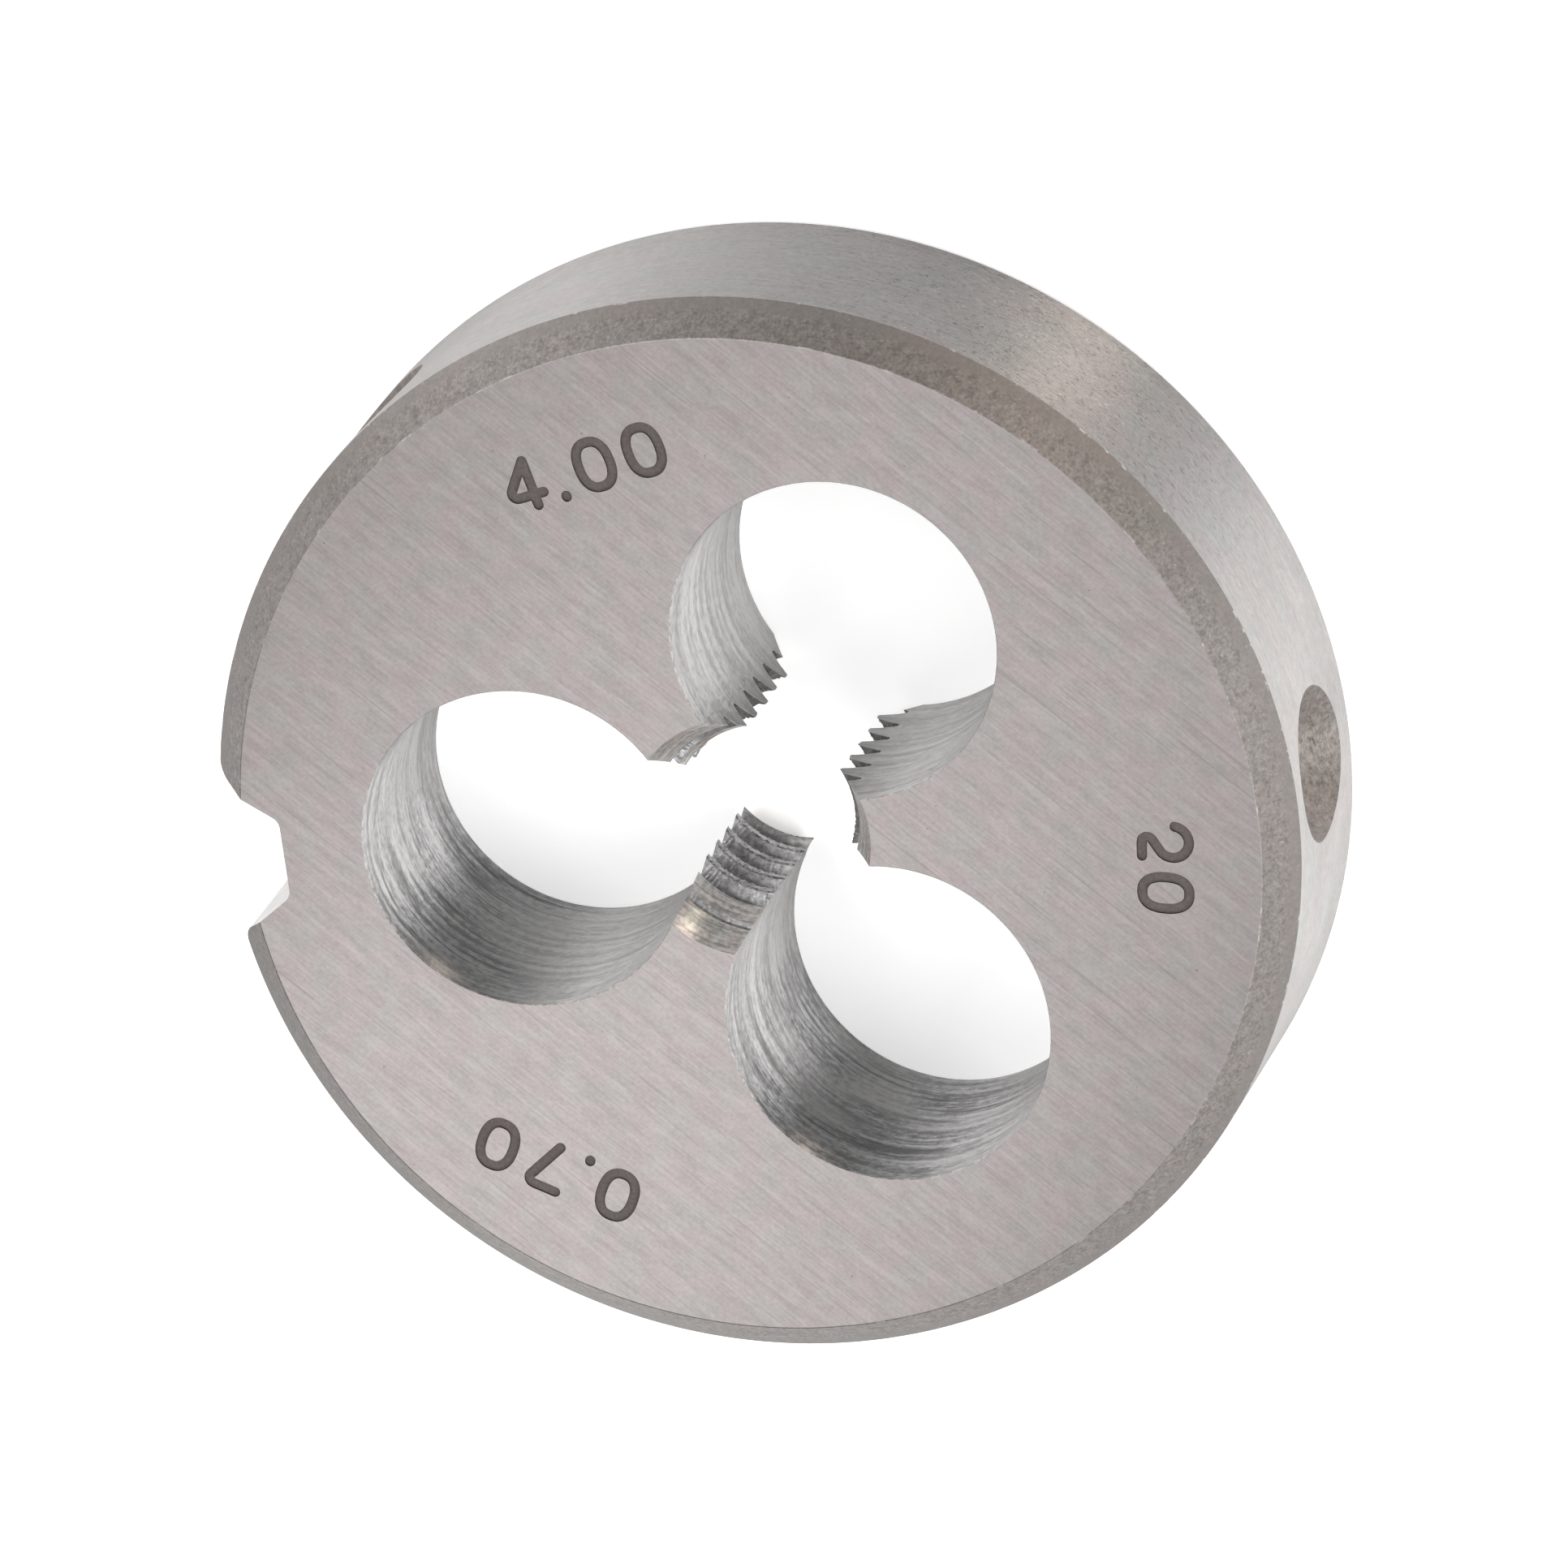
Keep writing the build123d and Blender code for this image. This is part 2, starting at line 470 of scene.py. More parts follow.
def rounded_path(points, radius):
    """The path with each sharp corner turned into an arc."""
    points = [np.array(point, float) for point in points]
    path = [points[0]]
    for before, corner, after in zip(points, points[1:], points[2:]):
        back = (before - corner) / np.linalg.norm(before - corner)
        ahead = (after - corner) / np.linalg.norm(after - corner)
        bend = acos(np.clip(back @ ahead, -1.0, 1.0))
        if bend > radians(SMOOTH_BEND):
            path.append(corner)
            continue
        middle = (back + ahead) / np.linalg.norm(back + ahead)
        centre = corner + middle * radius / sin(bend / 2)
        first = corner + back * radius / tan(bend / 2) - centre
        turn = back[0] * ahead[1] - back[1] * ahead[0]
        sweep = (pi - bend) * (-1.0 if turn > 0 else 1.0)
        for share in np.linspace(0.0, 1.0, BEND_POINTS):
            c = cos(sweep * share)
            s = sin(sweep * share)
            path.append(centre + np.array((c * first[0] - s * first[1], s * first[0] + c * first[1])))
    path.append(points[-1])
    return path


def normals_along(path, closed):
    """Left-hand normal at each point of a path."""
    if closed:
        ahead = np.roll(path, -1, axis=0) - np.roll(path, 1, axis=0)
    else:
        ahead = np.gradient(path, axis=0)
    ahead /= np.linalg.norm(ahead, axis=1)[:, None]
    return np.column_stack([-ahead[:, 1], ahead[:, 0]])


def cap(centre, side):
    """Points of the half circle that ends a stroke, from its left side to its right side."""
    start = atan2(side[1], side[0])
    radius = np.linalg.norm(side)
    turns = np.linspace(start, start - pi, CAP_POINTS + 2)[1:-1]
    return [(centre[0] + radius * cos(t), centre[1] + radius * sin(t)) for t in turns]


def mark_cutters(text, centre, direction, material):
    """Cutters for one engraved number, in reading order."""
    stroke = MARK_STROKE / MARK_HEIGHT
    strokes = []
    pen = 0.0
    for character in text:
        lines, width = digit_strokes(character, stroke)
        strokes += [(pen, points, closed) for points, closed in lines]
        pen += width + DIGIT_GAP
    half_length = (pen - DIGIT_GAP) / 2
    along = np.array(polar(1.0, direction))
    across = np.array((-along[1], along[0]))

    def on_face(flat):
        """Points of the cell, placed on the marked face."""
        return [tuple(centre + (u * along + v * across) * MARK_HEIGHT) for u, v in flat]

    cutters = []
    top = THICKNESS + MARK_OVERRUN
    for number, (start, points, closed) in enumerate(strokes):
        path = points if closed else rounded_path(points, stroke * BEND_RADIUS)
        path = np.array(path) + np.array((start + stroke / 2 - half_length, stroke / 2 - 0.5))
        side = normals_along(path, closed) * stroke / 2
        left = path + side
        right = path - side
        bottom = THICKNESS - MARK_DEPTH - number * STROKE_STEP
        if closed:
            rings = (on_face(left), on_face(right))
            cutters.append(ring_prism("mark_cutter", *rings, bottom, top, material))
        else:
            outline = [*left, *cap(path[-1], side[-1]), *right[::-1], *cap(path[0], -side[0])]
            cutters.append(prism("mark_cutter", on_face(outline), bottom, top, material))
    return cutters


# Materials


def grey(level, red=0.0, blue=0.0):
    """A grey with shares of red and blue added."""
    return (level * (1 + red), level, level * (1 + blue), 1.0)


def even(number):
    """The same number for all three axes."""
    return (number, number, number)


class Nodes:
    """Short calls for building one material's node tree."""

    def __init__(self, name):
        self.material = bpy.data.materials.new(name)
        self.material.use_nodes = True
        self.tree = self.material.node_tree
        self.shader = self.tree.nodes["Principled BSDF"]
        self.place = self.add("ShaderNodeTexCoord").outputs["Object"]

    def add(self, kind, **settings):
        """A new node with some of its settings."""
        node = self.tree.nodes.new(kind)
        for key, value in settings.items():
            setattr(node, key, value)
        return node

    def fill(self, socket, value):
        """Links a node's output to the socket, or sets the socket to a constant."""
        if isinstance(value, bpy.types.NodeSocket):
            self.tree.links.new(value, socket)
        else:
            socket.default_value = value

    def math(self, operation, first, second):
        """One sum or product of two values."""
        node = self.add("ShaderNodeMath", operation=operation)
        self.fill(node.inputs[0], first)
        self.fill(node.inputs[1], second)
        return node.outputs[0]

    def times(self, first, second):
        return self.math("MULTIPLY", first, second)

    def plus(self, first, second):
        return self.math("ADD", first, second)

    def blend(self, *parts):
        """Weighted sum of (value, weight) pairs."""
        total = None
        for value, weight in parts:
            part = self.times(value, weight)
            total = part if total is None else self.plus(total, part)
        return total

    def span(self, value, low, high, start=0.0, end=1.0):
        """Maps the range from low to high to the one from start to end, held at the ends."""
        node = self.add("ShaderNodeMapRange")
        self.fill(node.inputs["Value"], value)
        node.inputs["From Min"].default_value = low
        node.inputs["From Max"].default_value = high
        node.inputs["To Min"].default_value = start
        node.inputs["To Max"].default_value = end
        return node.outputs["Result"]

    def mapped(self, scale=even(1.0), turn=0.0, offset=even(0.0)):
        """Object coordinates in millimetres, turned about Z, then scaled and shifted."""
        turned = self.add("ShaderNodeMapping")
        self.fill(turned.inputs["Vector"], self.place)
        turned.inputs["Rotation"].default_value = (0.0, 0.0, radians(turn))
        scaled = self.add("ShaderNodeMapping")
        self.fill(scaled.inputs["Vector"], turned.outputs[0])
        scaled.inputs["Scale"].default_value = [value / MM for value in scale]
        scaled.inputs["Location"].default_value = offset
        return scaled.outputs[0]

    def axes(self, turn=0.0):
        """X, Y and height on the die in millimetres, turned about its axis."""
        split = self.add("ShaderNodeSeparateXYZ")
        self.fill(split.inputs[0], self.mapped(turn=turn))
        return split.outputs

    def height(self):
        """Height above the back face, in millimetres."""
        return self.axes()[2]

    def towards(self, direction, low, high, start=0.0, end=1.0):
        """Mask that changes towards one side of the die, between two shares of its radius."""
        ahead = self.axes(-direction)[0]
        return self.span(ahead, low * OUTER_RADIUS, high * OUTER_RADIUS, start, end)

    def noise(self, scale, detail=2.0, roughness=0.5, distortion=0.0, turn=0.0, offset=even(0.0)):
        """Noise with so many features to the millimetre along each axis."""
        node = self.add("ShaderNodeTexNoise")
        self.fill(node.inputs["Vector"], self.mapped(scale, turn, offset))
        node.inputs["Scale"].default_value = 1.0
        node.inputs["Detail"].default_value = detail
        node.inputs["Roughness"].default_value = roughness
        node.inputs["Distortion"].default_value = distortion
        return node.outputs["Fac"]

    def mix(self, share, first, second, blend="MIX"):
        """The first colour with a share of the second over it."""
        node = self.add("ShaderNodeMix", data_type="RGBA", blend_type=blend)
        colours = [socket for socket in node.inputs if socket.type == "RGBA"]
        self.fill(node.inputs["Factor"], share)
        self.fill(colours[0], first)
        self.fill(colours[1], second)
        return [socket for socket in node.outputs if socket.type == "RGBA"][0]

    def graded(self, value, low, high, dark, light):
        """From one tone to another as the value goes from low to high."""
        return self.mix(self.span(value, low, high), dark, light)

    def laid(self, tone, value, low, high, share, over):
        """The tone with up to a share of another over it as the value goes from low to high."""
        return self.mix(self.span(value, low, high, 0.0, share), tone, over)

    def tinted(self, tone, scale, amount):
        """The tone with faint pink and greenish patches, in the proportions of the photograph."""
        patch = self.noise(even(scale), offset=(9.0, 1.0, 4.0))
        cool = (1.0 - amount, 1.0 + amount / 3, 1.0, 1.0)
        warm = (1.0 + amount, 1.0 - amount / 3, 1.0, 1.0)
        return self.mix(1.0, tone, self.graded(patch, 0.36, 0.64, cool, warm), "MULTIPLY")

    def colour(self, tone):
        """The surface's own colour."""
        self.fill(self.shader.inputs["Base Color"], tone)

    def metal(self, roughness, anisotropy=0.0, share=1.0):
        """A surface that is metal by the given share."""
        self.shader.inputs["Metallic"].default_value = share
        self.fill(self.shader.inputs["Roughness"], roughness)
        self.shader.inputs["Anisotropic"].default_value = anisotropy

    def stretched(self, way):
        """Reflections drawn out in one direction, which is across the lines of the surface."""
        tangent = self.add("ShaderNodeCombineXYZ")
        for socket, value in zip(tangent.inputs, way):
            socket.default_value = value
        self.fill(self.shader.inputs["Tangent"], tangent.outputs[0])

    def bumped(self, height, distance, strength, rounding=0.0):
        """Normal from a height, over edges rounded by the given radius."""
        bump = self.add("ShaderNodeBump")
        bump.inputs["Strength"].default_value = strength
        bump.inputs["Distance"].default_value = distance * MM
        self.fill(bump.inputs["Height"], height)
        if rounding:
            bevel = self.add("ShaderNodeBevel", samples=BEVEL_SAMPLES)
            bevel.inputs["Radius"].default_value = rounding * MM
            self.fill(bump.inputs["Normal"], bevel.outputs[0])
        self.fill(self.shader.inputs["Normal"], bump.outputs[0])


def ground_face():
    """Surface ground flat: faint straight lines, short and long scratches and a fine grain."""
    nodes = Nodes("steel_ground_face")
    turn = -GRIND_DIRECTION
    fine = nodes.noise((1.3, 24.0, 1.0), roughness=0.6, turn=turn)
    broad = nodes.noise((0.5, 7.0, 1.0), roughness=0.6, turn=turn, offset=(5.0, 3.0, 0.0))
    grain = nodes.noise(even(13.0))
    blotch = nodes.noise((2.2, 3.4, 1.0), turn=turn, offset=(1.0, 4.0, 0.0))
    scratch = nodes.noise((1.1, 20.0, 1.0), detail=1.0, turn=turn, offset=(2.0, 7.0, 0.0))
    long = nodes.noise((0.25, 13.0, 1.0), detail=1.0, turn=turn, offset=(3.0, 9.0, 0.0))
    speck = nodes.noise(even(10.0), detail=1.0, offset=(6.0, 2.0, 0.0))
    lines = nodes.blend((fine, 0.3), (broad, 0.25), (grain, 0.25), (blotch, 0.2))
    tone = nodes.graded(lines, 0.4, 0.6, grey(0.288, 0.09, -0.02), grey(0.372, 0.09, -0.02))
    tone = nodes.laid(tone, scratch, 0.7, 0.76, 0.4, grey(0.45, 0.08, -0.01))
    tone = nodes.laid(tone, scratch, 0.3, 0.24, 0.35, grey(0.21, 0.08, -0.01))
    tone = nodes.laid(tone, long, 0.66, 0.74, 0.35, grey(0.2, 0.08, -0.01))
    tone = nodes.laid(tone, speck, 0.78, 0.82, 0.6, grey(0.1, 0.08, -0.01))
    nodes.colour(nodes.tinted(tone, scale=1.6, amount=0.025))
    nodes.metal(roughness=0.4, anisotropy=0.7)
    nodes.stretched(ACROSS_GRIND)
    nodes.bumped(lines, distance=0.002, strength=0.5, rounding=0.012)
    return nodes.material


def ground_rim():
    """Cylindrically ground rim: fine lines round it, grain and blotches, and one side with pits and
    painted glints.
    """
    nodes = Nodes("steel_ground_rim")
    fine = nodes.noise((0.8, 0.8, 20.0), roughness=0.6)
    grain = nodes.noise((5.5, 5.5, 9.0), detail=3.0, roughness=0.7)
    blotch = nodes.noise((0.45, 0.45, 0.9), detail=3.0, roughness=0.6, offset=(3.0, 7.0, 1.0))
    ragged = {"detail": 4.0, "roughness": 0.75, "distortion": 0.4}
    pit = nodes.noise((8.0, 8.0, 11.0), offset=(1.0, 5.0, 2.0), **ragged)
    spark = nodes.noise((9.0, 9.0, 12.0), offset=(4.0, 2.0, 8.0), **ragged)
    lines = nodes.blend((fine, 0.3), (grain, 0.42), (blotch, 0.28))
    tone = nodes.graded(lines, 0.38, 0.62, grey(0.268, 0.04, -0.02), grey(0.352, 0.035, -0.02))
    pits_and_glints_side = nodes.towards(RIM_PITS_AND_GLINTS_SIDE, 0.8, 0.98)
    pitted = nodes.times(nodes.span(pit, 0.55, 0.65), nodes.span(pits_and_glints_side, 0.0, 1.0, 0.1, 0.8))
    tone = nodes.mix(pitted, tone, grey(0.15, 0.1, -0.05))
    # Painted glints: bright specks on the side with the pits
    painted_glints = nodes.times(nodes.span(spark, 0.6, 0.7), nodes.span(pits_and_glints_side, 0.4, 1.0, 0.0, 0.5))
    tone = nodes.mix(painted_glints, tone, grey(0.62, 0.06, -0.03))
    nodes.colour(nodes.tinted(tone, scale=0.9, amount=0.02))
    nodes.metal(roughness=nodes.span(blotch, 0.35, 0.65, 0.46, 0.54), anisotropy=1.0)
    nodes.stretched(ALONG_AXIS)
    relief = nodes.blend((lines, 0.8), (pit, -0.4))
    nodes.bumped(relief, distance=0.035, strength=0.7, rounding=0.015)
    return nodes.material


def rough_bevel():
    """Bevel left rough by the furnace: mottled, brownish, with an evener outer third, painted shade
    on one side, painted light on another and painted glints along its edges.
    """
    nodes = Nodes("steel_rough_bevel")
    mottle = nodes.noise(even(6.0), detail=4.0, roughness=0.7)
    grain = nodes.noise(even(16.0), roughness=0.6)
    spark = nodes.noise(even(13.0), detail=0.0, offset=(2.0, 4.0, 6.0))
    glint = nodes.noise(even(3.5), roughness=0.7, offset=(5.0, 5.0, 1.0))
    mixed = nodes.blend((mottle, 0.5), (grain, 0.5))
    share = nodes.span(mixed, 0.36, 0.64)
    mottled = nodes.mix(share, grey(0.13, 0.09, -0.052), grey(0.24, 0.085, -0.052))
    calm = nodes.mix(share, grey(0.163, 0.09, -0.052), grey(0.205, 0.085, -0.052))
    outer = nodes.span(nodes.height(), SHOULDER + 0.16, SHOULDER + 0.26, 1.0, 0.0)
    tone = nodes.mix(outer, mottled, calm)
    # Painted shade towards one side of the bevel and painted light towards another
    painted_shade = nodes.towards(PAINTED_SHADE_BEVEL_SIDE, 0.79, 0.94, 0.0, -0.24)
    painted_light = nodes.towards(PAINTED_LIGHT_BEVEL_SIDE, 0.78, 0.96, 1.0, 1.28)
    tone = nodes.mix(1.0, tone, nodes.plus(painted_shade, painted_light), "MULTIPLY")
    tone = nodes.laid(tone, spark, 0.78, 0.84, 0.4, grey(0.36, 0.06, -0.04))
    # Painted glints: bright specks along the bevel's outer and inner edges
    outer_edge = nodes.span(nodes.height(), SHOULDER + 0.01, SHOULDER + 0.03, 0.5, 0.0)
    inner_edge = nodes.span(nodes.height(), THICKNESS - 0.025, THICKNESS - 0.01, 0.0, 0.3)
    painted_edge_glints = nodes.times(nodes.plus(outer_edge, inner_edge), nodes.span(glint, 0.58, 0.66))
    tone = nodes.mix(painted_edge_glints, tone, grey(0.6, 0.04, -0.02))
    nodes.colour(nodes.tinted(tone, scale=1.4, amount=0.012))
    nodes.metal(roughness=0.52)
    nodes.bumped(mixed, distance=0.006, strength=0.6, rounding=0.012)
    return nodes.material


def milled_notch():
    """Walls of the notch: bright, with faint upright lines."""
    nodes = Nodes("steel_milled_notch")
    fine = nodes.noise((12.0, 12.0, 0.6), roughness=0.6)
    grain = nodes.noise(even(9.0), roughness=0.6)
    lines = nodes.blend((fine, 0.6), (grain, 0.4))
    nodes.colour(
        nodes.graded(lines, 0.38, 0.62, grey(0.42, 0.03, -0.02), grey(0.54, 0.03, -0.02))
    )
    nodes.metal(roughness=0.42)
    nodes.bumped(lines, distance=0.006, strength=0.6, rounding=0.02)
    return nodes.material


def drilled_wall():
    """Wall of a chip hole: soft ridges left by the drill, dark smears with painted shade on one side,
    torn streaks and grain.
    """
    nodes = Nodes("steel_drilled")
    ridge = nodes.noise((0.3, 0.3, 3.0), offset=(1.0, 8.0, 3.0))
    fine = nodes.noise((0.38, 0.38, 6.0), detail=3.0, roughness=0.65, distortion=0.15)
    grain = nodes.noise((7.0, 7.0, 9.0), detail=3.0, roughness=0.65)
    smear = nodes.noise((0.5, 0.5, 0.8), detail=1.0, distortion=0.3, offset=(7.0, 8.0, 14.0))
    tear = nodes.noise(
        (0.35, 0.35, 4.5), detail=3.0, roughness=0.7, distortion=0.2, offset=(7.0, 5.0, 2.0)
    )
    crumbs = nodes.noise(even(7.0), roughness=0.7, offset=(2.0, 9.0, 5.0))
    lines = nodes.blend((ridge, 0.2), (fine, 0.42), (grain, 0.38))

    # The smears lie on one side of each hole with painted shade, apart from a patch where the smears
    # and their painted shade thin out
    smears_and_shade_side = nodes.towards(SMEARS_AND_SHADE_SIDE, 0.33, 0.47, 0.12, 1.0)
    before_patch = nodes.towards(THIN_SMEARS_SIDE, 0.3, 0.44, 1.0, 0.15)
    behind_patch = nodes.towards(THIN_SMEARS_SIDE, 0.52, 0.62, 0.0, 0.85)
    side = nodes.times(smears_and_shade_side, nodes.plus(before_patch, behind_patch))
    smears_and_shade = nodes.times(nodes.span(smear, 0.32, 0.58, 0.25, 0.85), side)
    deep = nodes.times(nodes.span(tear, 0.52, 0.62), nodes.span(smear, 0.36, 0.58, 0.25, 0.8))

    plain = nodes.graded(lines, 0.42, 0.58, grey(0.335, 0.014, -0.01), grey(0.435, 0.014, -0.01))
    torn = nodes.graded(lines, 0.43, 0.57, grey(0.17, 0.012), grey(0.45, 0.012))
    tone = nodes.mix(smears_and_shade, plain, torn)
    tone = nodes.mix(nodes.times(deep, side), tone, grey(0.11, 0.012))
    ragged = nodes.plus(nodes.height(), nodes.span(crumbs, 0.3, 0.7, -BURR_WIDTH, BURR_WIDTH))
    burr = nodes.span(ragged, THICKNESS - BURR_WIDTH, THICKNESS - BURR_WIDTH / 2, 0.0, 0.7)
    crumb = nodes.graded(crumbs, 0.42, 0.58, grey(0.2, 0.05, -0.03), grey(0.5, 0.04, -0.04))
    nodes.colour(nodes.mix(burr, tone, crumb))
    nodes.metal(roughness=nodes.span(lines, 0.4, 0.6, 0.42, 0.56), anisotropy=1.0)
    nodes.stretched(ALONG_AXIS)
    relief = nodes.blend((lines, 0.8), (tear, -0.4), (crumbs, 0.2))
    nodes.bumped(relief, distance=0.04, strength=0.8, rounding=0.03)
    return nodes.material


def cut_thread():
    """Flanks of the teeth: torn and dark, with a few bright grains of steel."""
    nodes = Nodes("steel_cut_thread")
    fine = nodes.noise((1.6, 1.6, 14.0), detail=3.0, roughness=0.7)
    grain = nodes.noise(even(9.0), detail=3.0, roughness=0.7)
    spark = nodes.noise((7.0, 7.0, 9.0), detail=1.0, offset=(3.0, 1.0, 2.0))
    mixed = nodes.blend((fine, 0.4), (grain, 0.6))
    tone = nodes.graded(mixed, 0.36, 0.64, grey(0.16, 0.02), grey(0.46, 0.02))
    nodes.colour(nodes.laid(tone, spark, 0.7, 0.78, 0.7, grey(0.7)))
    nodes.metal(roughness=0.42, anisotropy=0.4)
    nodes.stretched(ALONG_AXIS)
    nodes.bumped(mixed, distance=0.02, strength=0.8, rounding=0.02)
    return nodes.material


def turned_lead():
    """Turned cone at the mouth of the bore: shiny, warm, with close turning lines."""
    nodes = Nodes("steel_turned_lead")
    fine = nodes.noise((1.0, 1.0, 13.0), detail=3.0, roughness=0.65, distortion=0.2)
    grain = nodes.noise((10.0, 10.0, 12.0))
    lines = nodes.blend((fine, 0.6), (grain, 0.4))
    tone = nodes.graded(lines, 0.4, 0.6, grey(0.38, 0.05, -0.04), grey(0.78, 0.05, -0.04))
    nodes.colour(nodes.tinted(tone, scale=2.0, amount=0.03))
    nodes.metal(roughness=0.46, anisotropy=0.9)
    nodes.stretched(ALONG_AXIS)
    nodes.bumped(lines, distance=0.006, strength=0.7, rounding=0.02)
    return nodes.material


def drilled_dimple():
    """Conical dimple: dull, grainy and brownish, with dark cracks."""
    nodes = Nodes("steel_dimple")
    mottle = nodes.noise(even(7.5), detail=4.0, roughness=0.75)
    scratch = nodes.noise(
        (10.0, 3.0, 10.0), roughness=0.7, distortion=1.5, offset=(4.0, 4.0, 0.0)
    )
    crack = nodes.noise(
        (4.0, 6.0, 4.0), detail=4.0, roughness=0.75, distortion=0.8, offset=(8.0, 2.0, 3.0)
    )
    mixed = nodes.blend((mottle, 0.6), (scratch, 0.4))
    tone = nodes.graded(mixed, 0.38, 0.62, grey(0.12, 0.12, -0.08), grey(0.23, 0.11, -0.07))
    tone = nodes.laid(tone, crack, 0.58, 0.66, 0.6, grey(0.06, 0.1, -0.06))
    nodes.colour(nodes.tinted(tone, scale=1.5, amount=0.012))
    nodes.metal(roughness=0.5)
    relief = nodes.blend((mixed, 1.0), (crack, -0.5))
    nodes.bumped(relief, distance=0.03, strength=0.8, rounding=0.02)
    return nodes.material


def engraved_mark():
    """Engraved numbers: brownish grey floor, dull and nearly even, and walls darkened with painted
    shade.
    """
    nodes = Nodes("steel_engraved")
    grain = nodes.noise(even(16.0))
    floor_tone = nodes.graded(grain, 0.3, 0.7, grey(0.056, 0.22, -0.04), grey(0.08, 0.22, -0.04))
    bottom = THICKNESS - MARK_DEPTH
    # Painted shade: the walls of the engraving darker than its floor
    painted_wall_shade = nodes.span(nodes.height(), bottom + 0.004, bottom + 0.02)
    nodes.colour(nodes.mix(painted_wall_shade, floor_tone, grey(0.03, 0.1)))
    nodes.metal(roughness=0.7, share=0.3)
    nodes.bumped(grain, distance=0.004, strength=0.5)
    return nodes.material


def pale_floor():
    """Pale matt paper, faintly lit from below."""
    nodes = Nodes("pale_floor")
    fibre = nodes.noise(even(0.8), detail=3.0)
    nodes.colour(nodes.graded(fibre, 0.3, 0.7, grey(0.93), grey(0.95)))
    nodes.shader.inputs["Roughness"].default_value = 0.9
    nodes.shader.inputs["Specular IOR Level"].default_value = 0.1
    nodes.shader.inputs["Emission Color"].default_value = (*WHITE, 1.0)
    nodes.shader.inputs["Emission Strength"].default_value = FLOOR_GLOW
    return nodes.material


# The die


def give_blank_materials(mesh, numbers):
    """Parts what is left of the blank into rim, ground faces, bevel and walls of the notch."""
    for polygon in mesh.polygons:
        if polygon.material_index != numbers["rim"]:
            continue
        tilt = polygon.normal[2]
        if abs(tilt) > FLAT_TILT:
            polygon.material_index = numbers["face"]
        elif tilt > BEVEL_TILT:
            polygon.material_index = numbers["bevel"]
        elif abs(tilt) < UPRIGHT_TILT and hypot(*polygon.center[:2]) < OUTER_RADIUS - EDGE_BREAK:
            polygon.material_index = numbers["notch"]


def set_exact_normals(mesh, numbers):
    """Gives each corner the normal of the true round surface, by the material of its face."""
    bore_axis = np.zeros(2)
    hole_axes = [np.array(polar(CHIP_HOLE_CENTRE_RADIUS, way)) for way in CHIP_HOLE_DIRECTIONS]
    normals = np.zeros((len(mesh.loops), 3))
    for polygon in mesh.polygons:
        flat = np.array(polygon.normal)
        centre = np.array(polygon.center)[:2]
        number = polygon.material_index
        axis = None
        outwards = -1.0
        if number == numbers["rim"] and abs(hypot(*centre) - OUTER_RADIUS) < RIM_CLOSENESS:
            axis = bore_axis
            outwards = 1.0
        elif number == numbers["hole"]:
            axis = min(hole_axes, key=lambda place: np.linalg.norm(centre - place))
        elif number == numbers["lead"]:
            axis = bore_axis
        for loop in polygon.loop_indices:
            normals[loop] = flat
            if axis is not None:
                spoke = np.array(mesh.vertices[mesh.loops[loop].vertex_index].co)[:2] - axis
                level = sqrt(max(1 - flat[2] ** 2, 0.0))
                normals[loop][:2] = outwards * level * spoke / np.linalg.norm(spoke)
    mesh.normals_split_custom_set([tuple(normal) for normal in normals])


def build_die():
    """The finished die as one mesh in metres."""
    kinds = {
        "rim": ground_rim(),
        "face": ground_face(),
        "bevel": rough_bevel(),
        "notch": milled_notch(),
        "hole": drilled_wall(),
        "thread": cut_thread(),
        "lead": turned_lead(),
        "dimple": drilled_dimple(),
        "mark": engraved_mark(),
    }
    die = blank(kinds["rim"])
    cut(die, notch_cutter(kinds["rim"]))
    cut(die, core_cutter(kinds["thread"]))
    cut(die, lead_cutter(FRONT_LEAD_RADIUS, FRONT_LEAD_HALF_ANGLE, THICKNESS, 1.0, kinds["lead"]))
    cut(die, lead_cutter(BACK_LEAD_RADIUS, BACK_LEAD_HALF_ANGLE, 0.0, -1.0, kinds["lead"]))
    for direction in LAND_DIRECTIONS:
        cut(die, land_cutter(direction, kinds["thread"]))
    for direction in CHIP_HOLE_DIRECTIONS:
        cut(die, chip_hole_cutter(direction, kinds["hole"]))
    for direction in DIMPLE_DIRECTIONS:
        cut(die, dimple_cutter(direction, kinds["dimple"]))
    for text, centre, direction in MARKS:
        for cutter in mark_cutters(text, centre, direction, kinds["mark"]):
            cut(die, cutter)

    mesh = die.data
    clean(mesh)
    for name in ("face", "bevel", "notch"):
        mesh.materials.append(kinds[name])
    numbers = {name: mesh.materials.find(material.name) for name, material in kinds.items()}
    give_blank_materials(mesh, numbers)
    set_exact_normals(mesh, numbers)
    mesh.transform(Matrix.Scale(MM, 4))
    return die


# Studio and camera


def area_light(name, azimuth, elevation, distance, size, power, colour=WHITE):
    """A rectangular soft light that faces the middle of the die from a direction and distance."""
    lamp = bpy.data.lights.new(name, "AREA")
    lamp.shape = "RECTANGLE"
    lamp.size = size[0]
    lamp.size_y = size[1]
    lamp.energy = power
    lamp.color = colour
    item = bpy.data.objects.new(name, lamp)
    level = polar(cos(radians(elevation)) * distance, azimuth)
    place = Vector((*level, sin(radians(elevation)) * distance))
    target = Vector((0.0, 0.0, THICKNESS / 2 * MM))
    item.location = place
    item.rotation_euler = (place - target).to_track_quat("Z", "Y").to_euler()
    item.visible_camera = False
    bpy.context.scene.collection.objects.link(item)


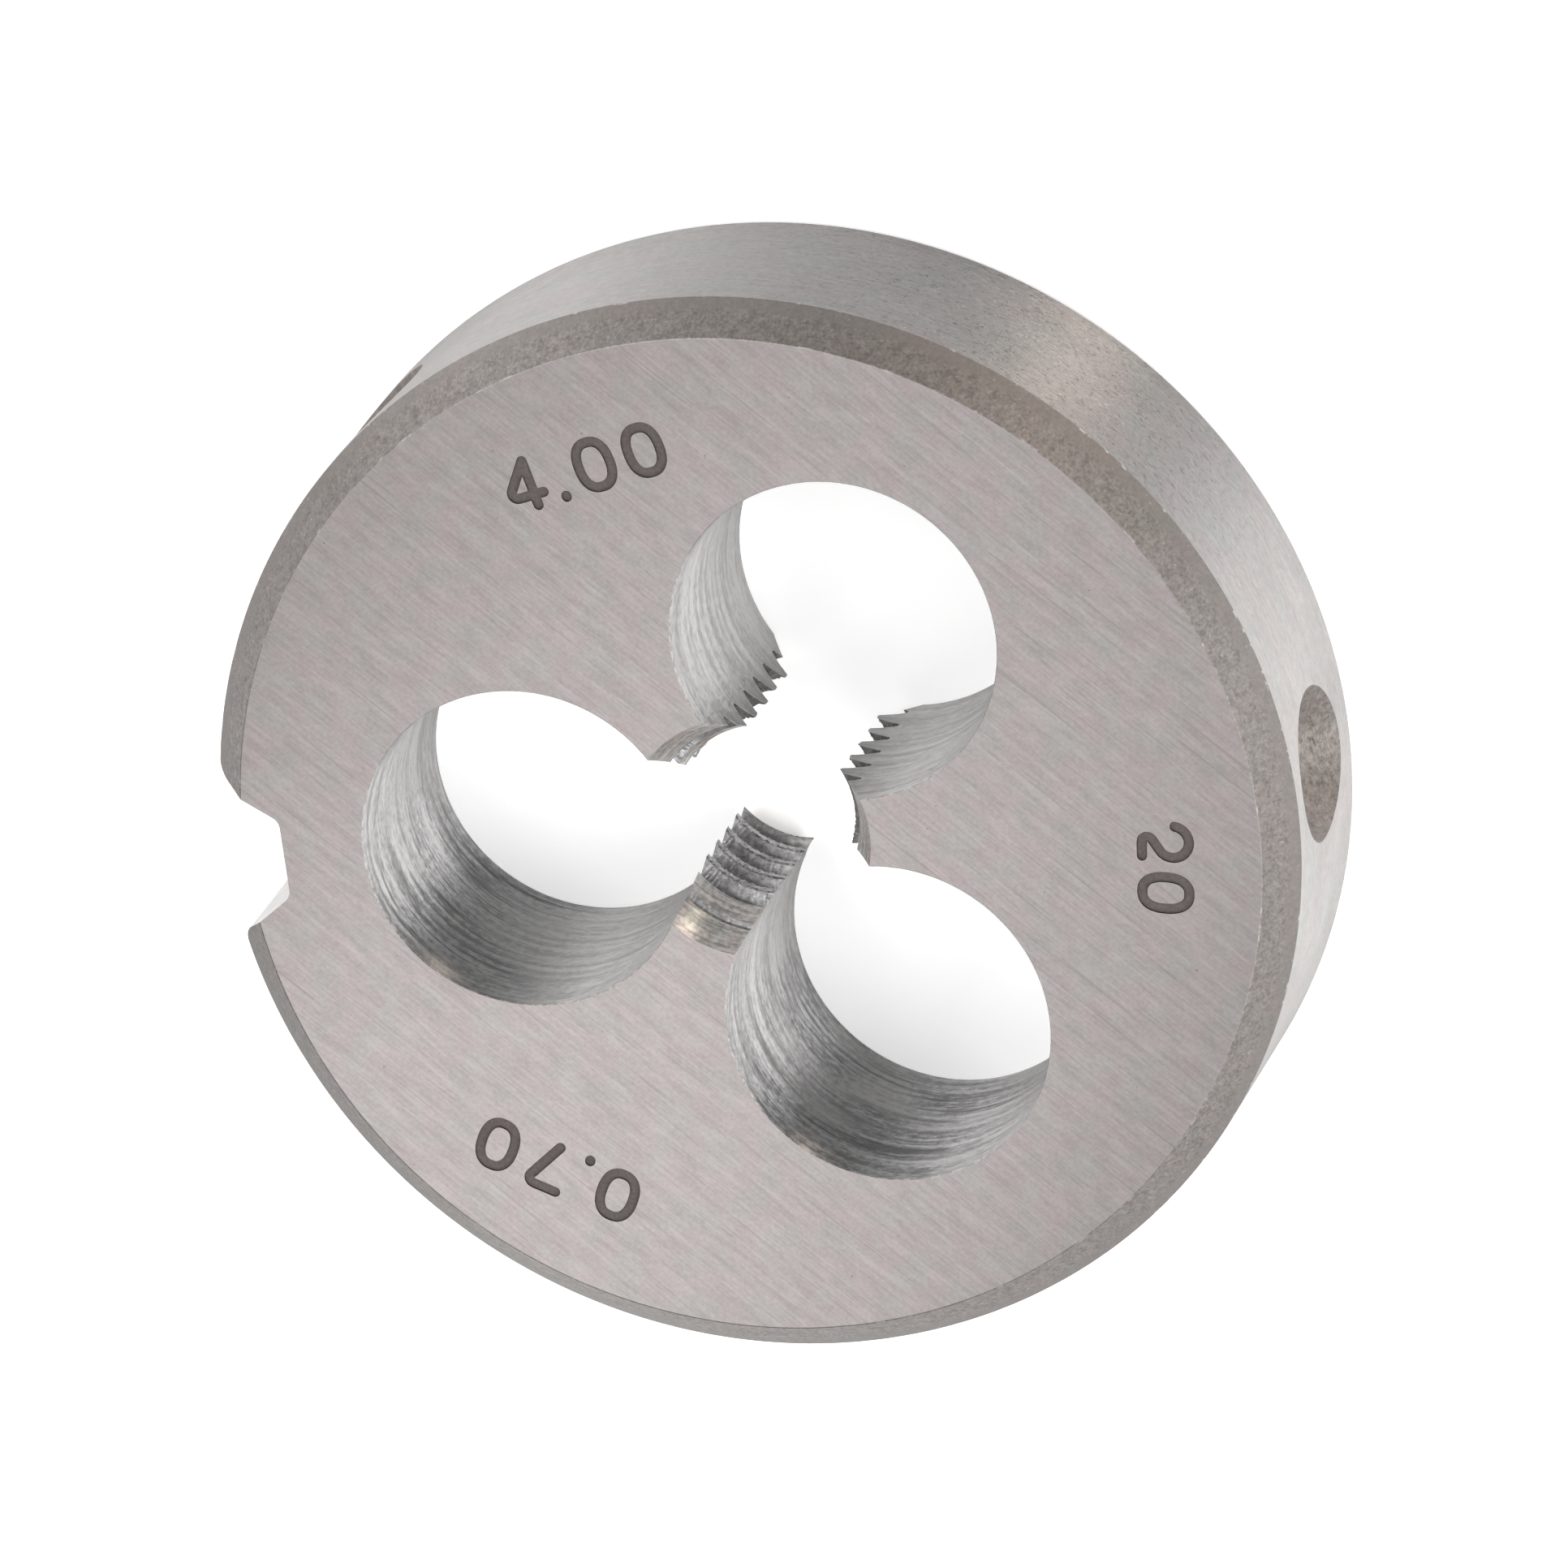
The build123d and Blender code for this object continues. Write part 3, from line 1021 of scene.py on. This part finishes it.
def studio():
    """Pale floor, pale room and soft lights."""
    half = FLOOR_HALF_WIDTH
    corners = [(-half, -half, 0.0), (half, -half, 0.0), (half, half, 0.0), (-half, half, 0.0)]
    mesh = bpy.data.meshes.new("floor")
    mesh.from_pydata(corners, [], [(0, 1, 2, 3)])
    mesh.materials.append(pale_floor())
    ground = bpy.data.objects.new("floor", mesh)
    bpy.context.scene.collection.objects.link(ground)

    world = bpy.data.worlds.new("room")
    bpy.context.scene.world = world
    world.use_nodes = True
    background = world.node_tree.nodes["Background"]
    background.inputs["Color"].default_value = (*WHITE, 1.0)
    background.inputs["Strength"].default_value = ROOM_GLOW

    # Each light by its direction, its elevation and its distance from the middle of the back face
    area_light("above_right", -41.0, 72.0, 0.4, size=(0.2, 0.2), power=0.15)
    area_light("above_left", 139.0, 72.0, 0.4, size=(0.2, 0.2), power=0.57)
    area_light("right", -23.0, 42.0, 0.3, size=(0.44, 0.24), power=1.5)
    area_light("left", 148.0, 42.0, 0.3, size=(0.3, 0.24), power=0.34)
    area_light("low_left", 145.0, 20.0, 0.3, size=(0.3, 0.12), power=0.17)
    area_light("top", 231.0, 60.0, 0.05, size=(0.02, 0.02), power=0.0032)
    area_light("near_camera", 49.0, 66.0, 0.4, size=(0.2, 0.2), power=0.06)
    area_light("strip", 51.0, 4.5, 0.3, size=(0.012, 0.03), power=0.16, colour=WARM_WHITE)


def camera():
    """The photograph's viewpoint."""
    lens = bpy.data.cameras.new("camera")
    lens.lens = CAMERA_LENS
    lens.sensor_width = CAMERA_SENSOR
    lens.clip_start = CAMERA_NEAR
    lens.clip_end = CAMERA_FAR
    item = bpy.data.objects.new("camera", lens)
    place = Matrix.Translation(Vector(CAMERA_PLACE) * MM)
    turns = Euler([radians(angle) for angle in CAMERA_TURNS])
    item.matrix_world = place @ turns.to_matrix().to_4x4()
    bpy.context.scene.collection.objects.link(item)
    bpy.context.scene.camera = item


np.random.seed(7)
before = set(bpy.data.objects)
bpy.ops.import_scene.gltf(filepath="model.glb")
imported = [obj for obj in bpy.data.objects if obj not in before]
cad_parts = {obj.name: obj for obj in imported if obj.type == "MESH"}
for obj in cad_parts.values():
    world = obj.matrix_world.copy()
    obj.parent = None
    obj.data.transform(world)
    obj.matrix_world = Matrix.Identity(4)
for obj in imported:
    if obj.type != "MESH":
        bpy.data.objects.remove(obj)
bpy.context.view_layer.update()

die = build_die()
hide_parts("die_body")
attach(die, "root")
studio()
camera()
bpy.context.scene.view_settings.view_transform = "Standard"
